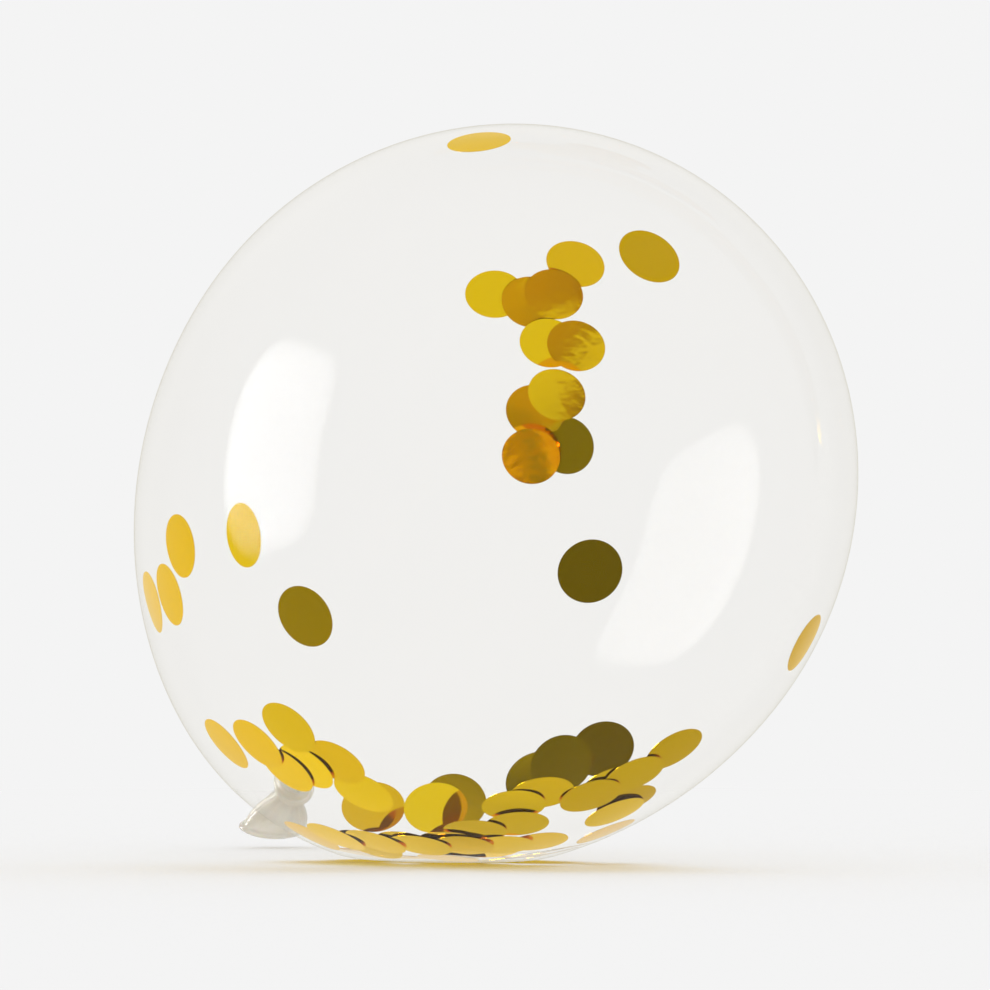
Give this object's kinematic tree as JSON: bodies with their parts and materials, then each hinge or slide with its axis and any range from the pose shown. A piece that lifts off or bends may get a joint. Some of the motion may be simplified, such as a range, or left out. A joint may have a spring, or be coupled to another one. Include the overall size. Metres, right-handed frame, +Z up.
{
  "type": "confetti balloon",
  "caption": "Clear latex party balloon, inflated and knotted, lying on its belly, with loose round gold foil confetti sealed inside.",
  "frame": {"origin": "on the small flat spot that the balloon lies on, under the lowest point of its round body", "axes": "+Z up; +Y level, towards the end with the knot; the crown faces -Y; +X across"},
  "size_m": [0.282, 0.3479, 0.2946],
  "materials": {
    "clear_latex": "clear, glossy, stretched thin, with a faint warm tint",
    "gold_foil": "mirror bright gold metallised film, both faces"
  },
  "bodies": {
    "root": {"balloon": "clear_latex"}
  },
  "joints": []
}
